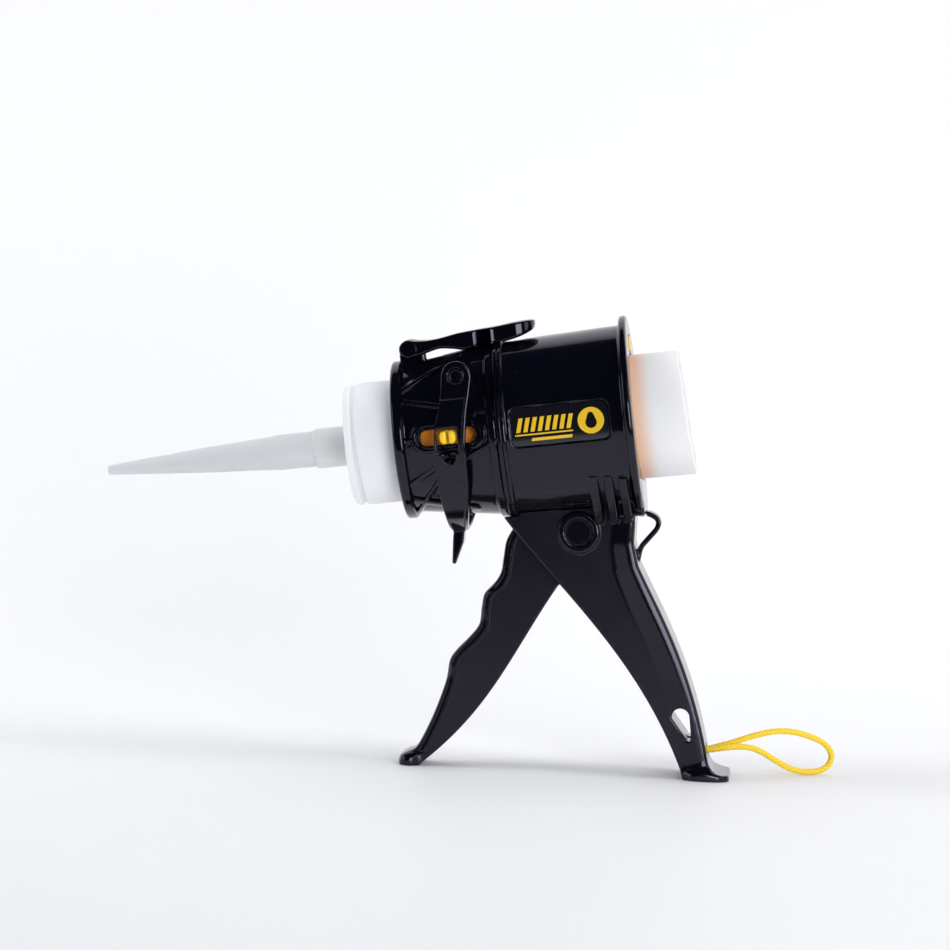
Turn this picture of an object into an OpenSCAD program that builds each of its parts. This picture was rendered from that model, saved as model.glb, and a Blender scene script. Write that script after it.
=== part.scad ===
// Compact cartridge gun: barrel, grip and trigger around a 310 ml cartridge.
// Gun frame: x runs back along the barrel from the nose's front face, z is up, y = 0 is the mid plane.
// stand() leans the gun forward until it rests on the trigger's tip and the handle's foot.

/* [Cartridge] */
// Outer diameter of the cartridge tube
tube_d = 50; // [49.6:0.1:50.2]
// Wall thickness of the cartridge tube
tube_wall = 1.4; // [1.2:0.1:1.6]
// How far the tube stands out behind the gun
tail_l = 21; // [5:1:60]
// Length of the nozzle's taper
nozzle_l = 70; // [40:1:80]

/* [Barrel] */
// Length of nose and barrel together
gun_l = 97.2; // [97:0.1:99]
// Outer radius of the barrel behind its front bead
barrel_r1 = 35.8; // [35.6:0.1:36]
// Outer radius of the barrel in front of its rear flange
barrel_r2 = 37.6; // [37.4:0.1:38]
// Inner radius of the barrel
barrel_ri = 33; // [32.8:0.1:33]
// Radius of the rear flange
flange_r = 41.3; // [40:0.1:43]

/* [Trigger] */
// Angle of the trigger's full squeeze in degrees
squeeze = 26; // [24:1:26]
// Distance from the pivot to the drive pin
drive_r = 14; // [13.8:0.1:14.2]
// Half thickness of the trigger blade
trigger_w = 9.3; // [8.5:0.1:9.4]

/* [Handle] */
// Half thickness of the handle over its side plates
web_w = 13.5; // [13:0.1:15]
// Half thickness of the rounded spine
spine_w = 15.3; // [14:0.1:16]
// Half width of the foot
foot_w = 16.5; // [15:0.5:20]

/* [Stance] */
// Forward lean of the barrel on its two feet in degrees
lean = 8.25; // [8.25]
// Diameter of the wrist cord
cord_d = 2.6; // [2:0.1:3]

/* [Hidden] */
$fn = 64;
far = 200;
black = [0.03, 0.03, 0.035];
steel = [0.62, 0.63, 0.65];

// Where the nose's front face stands over the floor
nose_x = -9.6;
nose_z = 132.8;

// Pivots in the gun frame, [x, z]
trigger_at = [69.6, -44.2];
bail_at = [28.8, 25];
lever_at = [7.6, 36.8];
drive_at = trigger_at + drive_r * [sin(squeeze / 2), cos(squeeze / 2)];

tube_r = tube_d / 2;
bore_r = tube_r + 0.6;
sleeve_r = 27.8;
sleeve_x0 = 10.7;
sleeve_x1 = 94.2;
lip_r = 26.4;
barrel_x0 = 44.3;
bead_w = 1.6;
bead_r = 37.2;
channel_w = 9.8;
pin_r = 3.5;
pin_head_r = 4.6;
bush_r = 4.6;
drive_pin_r = 2;
lug_at = [22.8, 1];
lug_size = [6.6, 5.4];
slot_r = 3.2;
bail_ri = 36.6;
bail_ro = 39.6;
bail_drop = 0.8;
bail_pin_r = 3.3;
ear_y = 5.9;
ear_w = 2.4;
arm_w = 18.8;
label_x0 = 48;
label_l = 40;
label_z = 1.75;
label_h = 16;
slit_w = 1.6;
screw_x = [47.2, 82];
screw_y = [-11.7, 11.7];
strap_z = 11.2;
blade_w = 1;

// ---------- helpers ----------

module stand()
    translate([nose_x, 0, nose_z]) rotate([0, -lean, 0]) children();

// Brings children placed over the floor into the gun frame
module over_floor()
    rotate([0, lean, 0]) translate([-nose_x, 0, -nose_z]) children();

// A profile of [radius, x] points turned around the barrel's axis
module turned(profile)
    rotate([0, 90, 0]) rotate_extrude($fn = 96) polygon(profile);

// A flat [x, z] shape made w thick, centred on the mid plane
module side_plate(w)
    rotate([90, 0, 0]) linear_extrude(height = w, center = true) children();

// A round bar along y through an [x, z] point
module cross_bar(at, r, w, y0 = 0)
    translate([at.x, y0, at.y]) rotate([90, 0, 0]) cylinder(r = r, h = w, center = true);

module mirrored_y() {
    children();
    mirror([0, 1, 0]) children();
}

// Cubic Bezier curve with n steps
function bezier(p0, p1, p2, p3, n) = [for (i = [0:n]) let (t = i / n, s = 1 - t)
    s * s * s * p0 + 3 * s * s * t * p1 + 3 * s * t * t * p2 + t * t * t * p3];

// Smooth curve through every point of p, n steps between neighbours
function through(p, n) = [for (i = [0:len(p) - 2]) for (k = [0:n - 1]) let (
    t = k / n,
    a = p[max(i - 1, 0)],
    b = p[i],
    c = p[i + 1],
    d = p[min(i + 2, len(p) - 1)])
    b + t * (c - a) / 2 + t * t * (a - 2.5 * b + 2 * c - d / 2)
        + t * t * t * (1.5 * b - 1.5 * c + (d - a) / 2)];

function unit(v) = v / norm(v);
function side_of(p, i) = let (d = unit(p[min(i + 1, len(p) - 1)] - p[max(i - 1, 0)])) [-d.y, d.x];

// Band of width w along the points p
function band(p, w) = concat(
    [for (i = [0:len(p) - 1]) p[i] + side_of(p, i) * w / 2],
    [for (i = [len(p) - 1:-1:0]) p[i] - side_of(p, i) * w / 2]);

module round_rect(x0, z0, l, h, r) {
    translate([x0 + r, z0]) square([l - 2 * r, h]);
    translate([x0, z0 + r]) square([l, h - 2 * r]);
    for (x = [x0 + r, x0 + l - r], z = [z0 + r, z0 + h - r]) translate([x, z]) circle(r = r, $fn = 32);
}

// ---------- barrel ----------

function barrel_outer(x) = barrel_r1 + (barrel_r2 - barrel_r1) * (x - 46) / (93.5 - 46);

// Tapered shell that follows the barrel's outside, from in_by below it to out_by above it
module barrel_skin(in_by, out_by, x0, x1)
    turned([
        [barrel_outer(x0) - in_by, x0], [barrel_outer(x0) + out_by, x0],
        [barrel_outer(x1) + out_by, x1], [barrel_outer(x1) - in_by, x1]
    ]);

module label_outline(inset)
    round_rect(label_x0 + inset, label_z - label_h / 2 + inset, label_l - 2 * inset, label_h - 2 * inset,
        3 - inset);

module barrel() color(black) stand() difference() {
    union() {
        turned([
            [barrel_ri, barrel_x0], [bead_r - 0.5, barrel_x0], [bead_r, barrel_x0 + 0.5],
            [bead_r, barrel_x0 + bead_w - 0.5], [barrel_r1, 46.4], [barrel_r2, 93.5], [flange_r - 0.9, 93.9],
            [flange_r, 94.8], [flange_r, gun_l - 0.8], [flange_r - 0.8, gun_l], [lip_r, gun_l], [lip_r, 94.6],
            [barrel_ri, 94.6]
        ]);
        difference() {
            translate([86.5, -18, -39.6]) cube([gun_l - 86.5, 36, 12]);
            rotate([0, 90, 0]) cylinder(r = barrel_r2 - 0.6, h = far);
        }
    }
    // label recesses
    intersection() {
        barrel_skin(0.6, 3, label_x0 - 1, label_x0 + label_l + 1);
        side_plate(100) label_outline(0);
    }
    // opening for the trigger's head and the carriage's fork
    translate([60, -channel_w, -60]) cube([19.6, 2 * channel_w, 40]);
    // slot for the carriage's guide key, and the finger scoop in front of it
    translate([59, -1.6, 20]) cube([29, 3.2, 30]);
    translate([50.5, 0, 47.4]) scale(12) sphere(r = 1, $fn = 48);
    // blind oval recesses beside the drive pin
    difference() {
        side_plate(100) round_rect(65.2, -31.9, 10.4, 3, 1.45);
        rotate([0, 90, 0]) cylinder(r = barrel_outer(70) - 0.6, h = far);
    }
    // notch in the rear lip for the carriage's tab
    translate([90, -3.8, 20]) cube([10, 7.6, 13]);
    for (x = screw_x, y = screw_y) {
        translate([x, y, -60]) cylinder(r = 1.2, h = 40);
        translate([x, y, -32.6]) cylinder(r = 2.3, h = 12);
    }
}

module side_labels() color([0.9, 0.65, 0.05]) stand() intersection() {
    barrel_skin(0.6, -0.25, label_x0, label_x0 + label_l);
    side_plate(100) label_outline(0.4);
}

// ---------- nose ----------

function nose_outer(x) = 31 + (36 - 31) * (x - 5.4) / (42.4 - 5.4);

// Shell from t below the nose's cone up to the cone
module nose_skin(t, x0, x1)
    turned([
        [nose_outer(x0) - t, x0], [nose_outer(x0), x0], [nose_outer(x1), x1], [nose_outer(x1) - t, x1]
    ]);

module rib(a, b, w) polygon(band([a, b], w));

// Raised ribs as seen from the side
module nose_ribs() {
    rib([5, 21], [36, 37.5], 2);
    rib([4, 16.8], [24, 12.6], 1.8);
    rib([4, 0], [20, 6.2], 1.8);
    rib([5, -17.4], [22, -7.6], 2);
    rib([5, -24.2], [30, -30.2], 1.8);
    rib([4, -31], [24, -8], 1.6);
    rib([24, 13.5], [43, 8.6], 1.4);
    rib([24, -10.5], [43, -1.6], 1.4);
    rib([40.4, 33], [40.4, -35], 3.2);
}

module nose_slot() {
    translate([13.9, lug_at.y - slot_r]) square([16.9, 2 * slot_r]);
    for (x = [13.9, 30.8]) translate([x, lug_at.y]) circle(r = slot_r);
}

module nose_ring() color(black) stand() difference() {
    union() {
        turned([
            [tube_r + 0.7, 0.6], [tube_r + 1.3, 0], [31.6, 0], [32.4, 0.8], [32.4, 3.6], [31.6, 4.4],
            [nose_outer(5.4) - 1.1, 5.2], [nose_outer(42.4) - 1.1, 42.4], [bead_r - 0.5, 42.5],
            [bead_r, 43], [bead_r, 43.7], [bead_r - 0.5, 44.2], [32.9, 44.2], [32.9, 50], [31.6, 50],
            [31.6, 39.2], [28.4, 39.2], [28.4, 37], [31.4, 37], [28.6, 4.2], [tube_r + 0.7, 3.6]
        ]);
        intersection() {
            nose_skin(1.6, 4.6, 42.3);
            union() {
                side_plate(100) {
                    nose_ribs();
                    round_rect(7.2, -5, 30.6, 12.4, 6);
                }
                // smooth strip along the top
                translate([3, -9, 20]) cube([40, 18, 30]);
            }
        }
        // pivot bosses of the bail
        difference() {
            cross_bar(bail_at, 5.6, 2 * (bail_ri - 0.3));
            rotate([0, 90, 0]) translate([0, 0, 10]) cylinder(r = 30.4, h = 40);
        }
        // ears of the clamp lever
        mirrored_y() translate([0, ear_y, 0]) side_plate(ear_w) {
            translate(lever_at) circle(r = 3.2);
            translate([3.9, 29]) square([9.7, 6]);
            polygon([[3.9, 35], [13.6, 35], [lever_at.x + 1, lever_at.y + 3], [lever_at.x - 3, lever_at.y]]);
        }
    }
    side_plate(100) nose_slot();
    cross_bar(bail_at, bail_pin_r, 100);
    cross_bar(lever_at, 1.6, 30);
    // opening for the clamp lever's jaw
    translate([3.7, -4.6, 20]) cube([17.3, 9.2, 30]);
    // recess round each slot
    difference() {
        side_plate(100) offset(r = 1.6) nose_slot();
        turned([[0, 0], [nose_outer(0) - 1.5, 0], [nose_outer(50) - 1.5, 50], [0, 50]]);
    }
}

module bail_pins() color(black) stand() mirrored_y()
    cross_bar(bail_at, bail_pin_r, 12.4, bail_ro + 0.2 - 6.2);

module lever_pin() color(steel) stand() cross_bar(lever_at, 1.6, 17.4);

// ---------- handle ----------

front_edge = bezier([38.6, -33], [58, -66], [88, -96], [100.5, -145], 20);
back_edge = concat(
    [[93.4, -37], [92.6, -44], [91.4, -51]],
    bezier([92.3, -60], [97, -75], [109, -100], [111.8, -138], 16));

module handle_outline() polygon(concat(
    front_edge,
    [[101.6, -149], [102, -158], [119.8, -158], [119.8, -149], [116, -144.5]],
    [for (i = [len(back_edge) - 1:-1:0]) back_edge[i]],
    [[93.4, -20], [38.6, -20]]));

module spine_outline() polygon(concat(back_edge, [for (i = [len(back_edge) - 1:-1:0]) back_edge[i] - [8, 1]]));

hook_line = through([
    [94, -39.3], [98.6, -40.4], [101.6, -43], [101, -46.3], [97, -50.2], [93.6, -53.6], [92, -58]
], 5);

module gusset(x, w) translate([x, 0, 0]) rotate([90, 0, 90]) linear_extrude(height = w)
    polygon([[31, -20.6], [29, -30], [16.5, -41.4], [10, -41.4], [10, -20]]);

// Everything below the floor
module under_floor() over_floor() translate([-far, -far, -far]) cube([2 * far, 2 * far, far]);

module foot() over_floor() hull() {
    for (x = [117, 125.6], s = [-1, 1]) translate([x, s * (foot_w - 5), 0]) cylinder(r = 5, h = 2.6, $fn = 32);
    translate([110.4, -7, 12]) cube([9, 14, 1]);
}

module handle() color(black) stand() difference() {
    union() {
        side_plate(2 * web_w) handle_outline();
        side_plate(2 * spine_w) spine_outline();
        foot();
        cross_bar(trigger_at, 8.4, 2 * web_w + 2.4);
        mirrored_y() for (x = [76.8, 82.8, 88.6]) gusset(x, 3.6);
        side_plate(9) polygon(band(hook_line, 2.1));
    }
    // saddle for the barrel, and the barrel's own rear block
    turned([[0, 20], [bead_r + 0.05, 20], [bead_r + 0.05, 46.2], [barrel_r1 + 0.05, 46.4],
        [barrel_r2 + 0.05, 93.5], [flange_r + 0.1, 93.7], [flange_r + 0.1, gun_l + 0.1], [36, gun_l + 0.1],
        [36, 120], [0, 120]]);
    translate([86.45, -18.05, -39.65]) cube([gun_l - 86.4, 36.1, 15]);
    // channel for the trigger, open to the front
    side_plate(2 * channel_w) polygon([
        [20, -20], [84, -20], [84, -58], [88, -72], [94.5, -90], [98, -106], [96, -112], [60, -112], [20, -60]
    ]);
    // recesses around the pin's ends
    mirrored_y() cross_bar(trigger_at, 5.8, 1.6, web_w + 0.8);
    cross_bar(trigger_at, pin_r, 60);
    // teardrop hole above the foot
    side_plate(60) {
        translate([102.9, -123.3]) circle(r = 3.6);
        polygon([[99.4, -124.3], [104.2, -132.6], [106.3, -132.2], [106.5, -123.5]]);
        translate([105.2, -132.3]) circle(r = 1.1);
    }
    // hole for the wrist cord, wide at the front for its knot
    strap_hole();
    for (x = screw_x, y = screw_y) translate([x, y, -44.5]) cylinder(r = 1.2, h = 30);
    under_floor();
}

module handle_screws() color(steel) stand() for (x = screw_x, y = screw_y) {
    translate([x, y, -44]) cylinder(r = 1.2, h = 12);
    translate([x, y, -32.6]) cylinder(r = 2.2, h = 1.2);
}

module trigger_pin() color(black) stand() {
    cross_bar(trigger_at, pin_r, 2 * web_w + 2.2);
    cross_bar(trigger_at, pin_head_r, 1.1, -(web_w + 0.55));
}

module pin_cap() color(black) stand() difference() {
    cross_bar(trigger_at, pin_head_r, 1.1, web_w + 0.55);
    cross_bar(trigger_at, pin_r, 60);
}

// ---------- wrist cord ----------

// In the gun frame: straight hole from the foot's back to the knot's pocket in front
module strap_hole() over_floor() {
    translate([100, 0, strap_z]) rotate([0, 90, 0]) cylinder(r = 3.1, h = 30);
    translate([95, 0, strap_z]) rotate([0, 90, 0]) cylinder(r = 5.2, h = 21.1);
}

// Middle of the cord, from its exit round the loop and back, in millimetres over the floor
cord_route = [
    [116, 1.4, 11.2], [121, 1.5, 11.2], [126, 2.2, 12.6], [131, 3.4, 14], [137, 5.4, 16], [143, 8, 17.6],
    [149.5, 11, 18.6], [156.6, 14.5, 18], [163.2, 18, 16], [168.6, 21, 13.2], [171.6, 22.8, 9.6],
    [172, 23, 6.4], [170.4, 22, 3.4], [167, 20, 1.8], [162.6, 18, 1.4], [158, 15.6, 2], [153.4, 13, 3.8],
    [148.6, 10, 6.8], [144, 7.2, 9.8], [139, 4.6, 12], [133.5, 2, 12.6], [128, -0.4, 12.2],
    [121, -1.5, 11.2], [116, -1.4, 11.2]
];

module strap_cord() color([0.95, 0.72, 0.05]) {
    path = concat(through(cord_route, 3), [cord_route[len(cord_route) - 1]]);
    n = len(path);
    sides = 8;
    points = [for (i = [0:n - 1]) let (
        d = unit(path[min(i + 1, n - 1)] - path[max(i - 1, 0)]),
        u = unit(cross([0, 0, 1], d)),
        v = cross(d, u))
        for (k = [0:sides - 1]) path[i] + cord_d / 2 * (u * cos(360 * k / sides) + v * sin(360 * k / sides))];
    walls = [for (i = [0:n - 2]) for (k = [0:sides - 1]) let (
        a = i * sides + k,
        b = i * sides + (k + 1) % sides)
        [a, a + sides, b + sides, b]];
    ends = [[for (k = [0:sides - 1]) k], [for (k = [sides - 1:-1:0]) (n - 1) * sides + k]];
    polyhedron(points, concat(walls, ends), convexity = 4);
}

module strap_knot() color([0.95, 0.72, 0.05])
    translate([112.4, 0, strap_z]) rotate([0, 90, 0]) cylinder(r = 4.4, h = 3.6);

// ---------- trigger ----------

trigger_front = through([
    [43, -39.6], [39.2, -45], [37.2, -52], [35.4, -58], [31.8, -62.4], [28, -65.6], [26.2, -71], [24.4, -78],
    [19.6, -83], [14, -87.6], [10.8, -91.6], [8.3, -99.8], [2, -112.5], [-5, -123.6], [-9, -127.4],
    [-12.4, -128.8], [-13.8, -130.9], [-12.6, -133], [-9, -133.9], [-5.6, -132.7]
], 4);
trigger_back = bezier([-5.6, -132.7], [26, -113], [36, -92], [58, -66], 14);

module trigger_outline() polygon(concat(
    trigger_front,
    trigger_back,
    [[73, -52], [76, -46], [66, -38.2], [55, -38]]));

module trigger() color(black) stand() difference() {
    union() {
        side_plate(2 * trigger_w) difference() {
            trigger_outline();
            translate(trigger_at) circle(r = 6.8);
        }
        cross_bar(trigger_at, 6.9, 2 * trigger_w);
        side_plate(10) {
            polygon(band([trigger_at, drive_at], 7.2));
            translate(drive_at) circle(r = 3.6);
        }
        cross_bar([-10.4, -130.8], 3.1, 22);
    }
    cross_bar(trigger_at, bush_r, 60);
    cross_bar(drive_at, drive_pin_r, 60);
    under_floor();
}

module pivot_bush() color([0.8, 0.62, 0.3]) stand() difference() {
    cross_bar(trigger_at, bush_r, 2 * trigger_w);
    cross_bar(trigger_at, pin_r + 0.05, 60);
}

module drive_pin() color(steel) stand() cross_bar(drive_at, drive_pin_r, 18.2);

// ---------- carriage ----------

module carriage() color([0.93, 0.55, 0.05]) stand() difference() {
    union() {
        turned([
            [bore_r, sleeve_x0], [sleeve_r, sleeve_x0], [sleeve_r, 62],
            [32.6, 62], [32.6, 64.2], [sleeve_r, 64.2],
            [sleeve_r, sleeve_x1], [bore_r, sleeve_x1]
        ]);
        // tab in the rear lip's notch
        translate([90, -3.3, 26.6]) cube([7.8, 6.6, 5.8]);
        // lugs that reach out through the nose's side slots
        mirrored_y() translate([0, 33.4, 0]) side_plate(12.6)
            round_rect(lug_at.x - lug_size.x / 2, lug_at.y - lug_size.y / 2, lug_size.x, lug_size.y, 1.6);
        // fork for the drive pin
        mirrored_y() translate([0, 7.3, 0]) side_plate(3)
            polygon([[drive_at.x - 4.5, -25.8], [drive_at.x - 4.5, -33.4], [drive_at.x + 4.5, -33.4],
                [drive_at.x + 4.5, -25.8]]);
        // guide key in the barrel's top slot
        translate([80, -1.2, sleeve_r - 1]) cube([6.4, 2.4, 8.6]);
    }
    rotate([0, 90, 0]) cylinder(r = bore_r, h = far);
    // split in each lug
    mirrored_y() translate([lug_at.x - 0.5, 36.6, lug_at.y - 4]) cube([1, 6, 8]);
    // opening of the fork
    mirrored_y() translate([0, 7.3, 0]) side_plate(3.4)
        translate([drive_at.x - 2.2, -34]) square([4.4, 6.4]);
    // pocket for the trigger's head
    translate([drive_at.x - 5, -5.6, -30]) cube([10, 11.2, 10]);
    // notch for the clamp lever's jaw
    translate([10, -5.2, 20]) cube([19, 10.4, 10]);
    // seats of the cutter blades
    translate([49.5, -blade_w / 2, -29]) cube([10.5, blade_w, 58]);
    // windows of the grip pawls
    translate([83.4, -40, -4.6]) cube([8.8, 80, 9.2]);
}

module piston() color([0.75, 0.75, 0.72]) stand() difference() {
    turned([
        [0, 36], [21.6, 36], [22.9, 37.3], [22.9, 44], [21.4, 46],
        [15, 46], [15, 61], [12, 61], [12, 48], [0, 48]
    ]);
    translate([46.5, -blade_w / 2, -20]) cube([20, blade_w, 40]);
    for (s = [-1, 1]) cross_bar([56, s * 13.4], 1, 12);
}

module cutter_blades() color(steel) stand() difference() {
    for (s = [-1, 1]) side_plate(blade_w) polygon([
        [46.8, s * 12.1], [46.8, s * 17], [48.4, s * 23], [49.6, s * 25.8], [49.6, s * 27.7], [59.9, s * 27.7],
        [59.9, s * 12.1]
    ]);
    for (s = [-1, 1]) cross_bar([56, s * 13.4], 1, 12);
}

module blade_screws() color(steel) stand() for (s = [-1, 1]) cross_bar([56, s * 13.4], 0.98, 9);

module grip_pawls() color(steel) stand() mirrored_y() translate([0, 0, -4.2]) linear_extrude(height = 8.4)
    polygon([[83.4, 27.6], [83.4, 26.6], [90.6, 25.3], [91.6, 25.5], [91, 26.3], [84.6, 27.6]]);

spring_x0 = 39.6;
spring_x1 = 61.6;
spring_r = 30.1;
wire_r = 0.9;
spring_turns = 5;

module return_spring() color(steel) stand() {
    steps = 14 * spring_turns;
    sides = 8;
    span = spring_x1 - spring_x0 - 2 * wire_r;
    points = [for (i = [0:steps])
        let (a = 360 * spring_turns * i / steps, x = spring_x0 + wire_r + span * i / steps)
        for (k = [0:sides - 1]) let (b = 360 * k / sides, r = spring_r + wire_r * cos(b))
            [x + wire_r * sin(b), r * sin(a), r * cos(a)]];
    walls = [for (i = [0:steps - 1]) for (k = [0:sides - 1]) let (
        a = i * sides + k,
        b = i * sides + (k + 1) % sides)
        [a, a + sides, b + sides, b]];
    ends = [[for (k = [0:sides - 1]) k], [for (k = [sides - 1:-1:0]) steps * sides + k]];
    polyhedron(points, concat(walls, ends), convexity = 10);
}

// ---------- bail ----------

bail_front = through([
    [24.4, 21], [22, 16], [18.2, 6], [16.9, -2], [16.4, -16], [17, -30], [18, -44]
], 4);
bail_rear = through([
    [22.6, -44], [26, -34], [28.2, -24], [29, -16], [29.8, -2], [31.4, 10], [34, 22]
], 4);

module bail_outline() {
    translate(bail_at) circle(r = 6);
    polygon(concat(bail_front, bail_rear));
}

// Round inside of the strap, a little lower than the barrel's axis so that the strap thins at the bottom
module bail_bore()
    translate([-1, 0, -bail_drop]) rotate([0, 90, 0]) cylinder(r = bail_ri, h = 62, $fn = 96);

module bail() color(black) stand() difference() {
    union() {
        intersection() {
            side_plate(100) bail_outline();
            difference() {
                union() {
                    rotate([0, 90, 0]) cylinder(r = bail_ro, h = 60, $fn = 96);
                    translate([0, -bail_ro, 0]) cube([60, 2 * bail_ro, 60]);
                }
                bail_bore();
                translate([-1, -bail_ri, -bail_drop]) cube([62, 2 * bail_ri, 62]);
            }
        }
        side_plate(9)
            polygon([[18.6, -36.8], [17.4, -42], [16, -52.6], [17.4, -52.8], [21.6, -44], [23, -36.8]]);
    }
    bail_bore();
    cross_bar(bail_at, bail_pin_r + 0.05, 100);
    // windows for the carriage's lugs
    side_plate(100) {
        round_rect(lug_at.x - 4.4, -5.5, 8.1, 9.9, 1.2);
        translate([22.8, -7.4]) circle(r = 2.4);
    }
    // shallow pocket round each window
    mirrored_y() translate([17.9, bail_ro - 0.8, -10.8]) cube([9, 4, 15.6]);
}

// ---------- clamp lever ----------

lever_top = through([
    [7.6, 40.4], [12, 39.8], [16, 39.7], [21, 40.1], [28, 41.3], [35.6, 42], [45, 42.6], [52.5, 43.6],
    [58.4, 43.8], [60.2, 43.8]
], 4);
lever_low = through([
    [60.2, 40.6], [59, 39.6], [55, 37.8], [50, 36.5], [43, 35.2], [37, 34.9], [33, 34.9], [27, 35.6],
    [21, 36.2], [16, 35.9], [11.6, 34.4], [7.6, 33.2]
], 4);
jaw_at = lever_at + [2.2, -11.2];

module clamp_lever() color(black) stand() difference() {
    union() {
        intersection() {
            side_plate(40) polygon(concat(lever_top, lever_low));
            // plan outline: straight arm, round finger paddle
            translate([0, 0, 20]) linear_extrude(height = 40) {
                translate([lever_at.x, -arm_w / 2]) square([40 - lever_at.x, arm_w]);
                translate([30, 0]) polygon([
                    [0, 9.6], [8, 10.2], [20, 10.2], [25.4, 8.6], [28.8, 5], [30, 0],
                    [28.8, -5], [25.4, -8.6], [20, -10.2], [8, -10.2], [0, -9.6]
                ]);
            }
            // crowned back of the paddle
            rotate([0, 90, 0]) cylinder(r = 44.4, h = 80, $fn = 96);
        }
        cross_bar(lever_at, 3.6, arm_w);
        side_plate(7) {
            polygon([lever_at + [-2, 0], jaw_at + [-1.8, 0.4], jaw_at + [-1.2, -0.2], jaw_at + [1.4, -0.2],
                jaw_at + [1.8, 2], lever_at + [3.4, -1]]);
        }
    }
    cross_bar(lever_at, 1.65, 17.6);
    // slots for the ears
    mirrored_y() translate([2, ear_y - ear_w / 2 - 0.3, 20]) cube([12.8, ear_w + 0.6, 30]);
    // hollow underside that clears the nose and the barrel
    turned([
        [0, 30], [nose_outer(30) + 0.4, 30], [nose_outer(41.6) + 0.4, 41.6],
        [bead_r + 0.4, 42], [bead_r + 0.4, 46.2],
        [barrel_outer(47) + 0.4, 46.8], [barrel_outer(70) + 0.4, 70], [0, 70]
    ]);
    // groove for the torsion spring
    difference() {
        cross_bar(lever_at, 5, 1.4);
        cross_bar(lever_at, 2.9, 2);
    }
}

module lever_spring() color(steel) stand() difference() {
    cross_bar(lever_at, 3.6, 1.2);
    cross_bar(lever_at, 2.95, 2);
}

// ---------- cartridge ----------

module cartridge_tube() color([0.95, 0.95, 0.96]) stand() difference() {
    turned([
        [0, -20.5], [tube_r - 1.2, -20.5], [tube_r - 0.4, -19.8], [tube_r - 0.3, -18], [tube_r - 1, -17.4],
        [tube_r - 1, -16.2], [tube_r - 0.1, -15.4], [tube_r, -12], [tube_r, gun_l + tail_l],
        [tube_r - tube_wall, gun_l + tail_l], [tube_r - tube_wall, -18.2], [0, -18.2]
    ]);
    rotate([0, 90, 0]) translate([0, 0, -30]) cylinder(r = 3, h = 20);
    translate([40, -slit_w / 2, -30]) cube([100, slit_w, 60]);
}

module cartridge_nozzle() color([0.96, 0.96, 0.97]) stand()
    turned([
        [3.2, -20.7], [8.2, -20.7], [8.2, -35], [7.3, -35.6], [7.3, -51], [7, -nozzle_l + 18],
        [5, -nozzle_l - 14], [2, -nozzle_l - 51.4], [1.7, -nozzle_l - 52], [1.1, -nozzle_l - 52],
        [1.1, -nozzle_l - 50], [4, -nozzle_l - 14], [6, -nozzle_l + 18], [6, -36], [3.2, -34]
    ]);

module cartridge_plunger() color([0.9, 0.9, 0.88]) stand()
    turned([
        [0, 18], [15, 18], [22.6, 22], [23.3, 25], [23.3, 35.6], [22, 35.6], [21.6, 24.6], [14.6, 20], [0, 20]
    ]);

barrel();
nose_ring();
handle();
handle_screws();
trigger_pin();
pin_cap();
bail_pins();
lever_pin();
side_labels();
strap_cord();
strap_knot();
trigger();
pivot_bush();
drive_pin();
carriage();
piston();
cutter_blades();
blade_screws();
grip_pawls();
return_spring();
bail();
clamp_lever();
lever_spring();
cartridge_tube();
cartridge_nozzle();
cartridge_plunger();
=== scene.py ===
import math

import bpy
import numpy as np
from mathutils import Matrix, Vector

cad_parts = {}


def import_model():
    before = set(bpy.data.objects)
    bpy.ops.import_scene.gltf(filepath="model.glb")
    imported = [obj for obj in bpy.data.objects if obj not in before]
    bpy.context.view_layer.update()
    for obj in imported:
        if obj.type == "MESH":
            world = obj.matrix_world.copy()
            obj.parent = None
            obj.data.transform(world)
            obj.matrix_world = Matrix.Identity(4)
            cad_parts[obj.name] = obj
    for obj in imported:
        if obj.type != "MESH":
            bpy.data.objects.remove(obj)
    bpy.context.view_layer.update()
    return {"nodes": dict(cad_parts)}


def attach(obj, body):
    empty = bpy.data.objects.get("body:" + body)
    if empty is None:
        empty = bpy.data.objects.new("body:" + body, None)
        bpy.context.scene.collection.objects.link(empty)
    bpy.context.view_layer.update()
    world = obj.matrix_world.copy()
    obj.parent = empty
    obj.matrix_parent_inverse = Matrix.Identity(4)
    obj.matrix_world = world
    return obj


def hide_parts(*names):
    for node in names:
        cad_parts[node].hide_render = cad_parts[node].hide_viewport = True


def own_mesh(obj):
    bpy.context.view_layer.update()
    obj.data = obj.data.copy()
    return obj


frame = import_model()
nodes = frame["nodes"]

# ---------- gun frame ----------
# u runs back along the barrel from the nose's front face, y is the row's +Y, v is up; all in mm.

LEAN = math.radians(8.25)
COS, SIN = math.cos(LEAN), math.sin(LEAN)
NOSE = np.array([-9.6, 0.0, 132.8])
TURN = np.array([[COS, 0, SIN], [0, 1, 0], [-SIN, 0, COS]])


def to_row(points):
    """Gun millimetres to the row frame's metres."""
    return (np.asarray(points, float) @ TURN + NOSE) / 1000


def over_floor(p):
    """Gun millimetres to millimetres over the floor."""
    q = p @ TURN + NOSE
    return q[:, 0], q[:, 1], q[:, 2]


# ---------- shapes as distance fields ----------


def join(a, b, r=0.0):
    """Union with a fillet about r wide."""
    if not r:
        return np.minimum(a, b)
    h = np.maximum(r - np.abs(a - b), 0)
    return np.minimum(a, b) - h * h / (4 * r)


def meet(a, b, r=0.0):
    """Intersection with an edge rounded about r wide."""
    return -join(-a, -b, r)


def cut(a, b, r=0.0):
    """a without b, with the edge rounded about r wide."""
    return -join(-a, b, r)


def slab(x, low, high):
    return np.abs(x - (low + high) / 2) - (high - low) / 2


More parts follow.
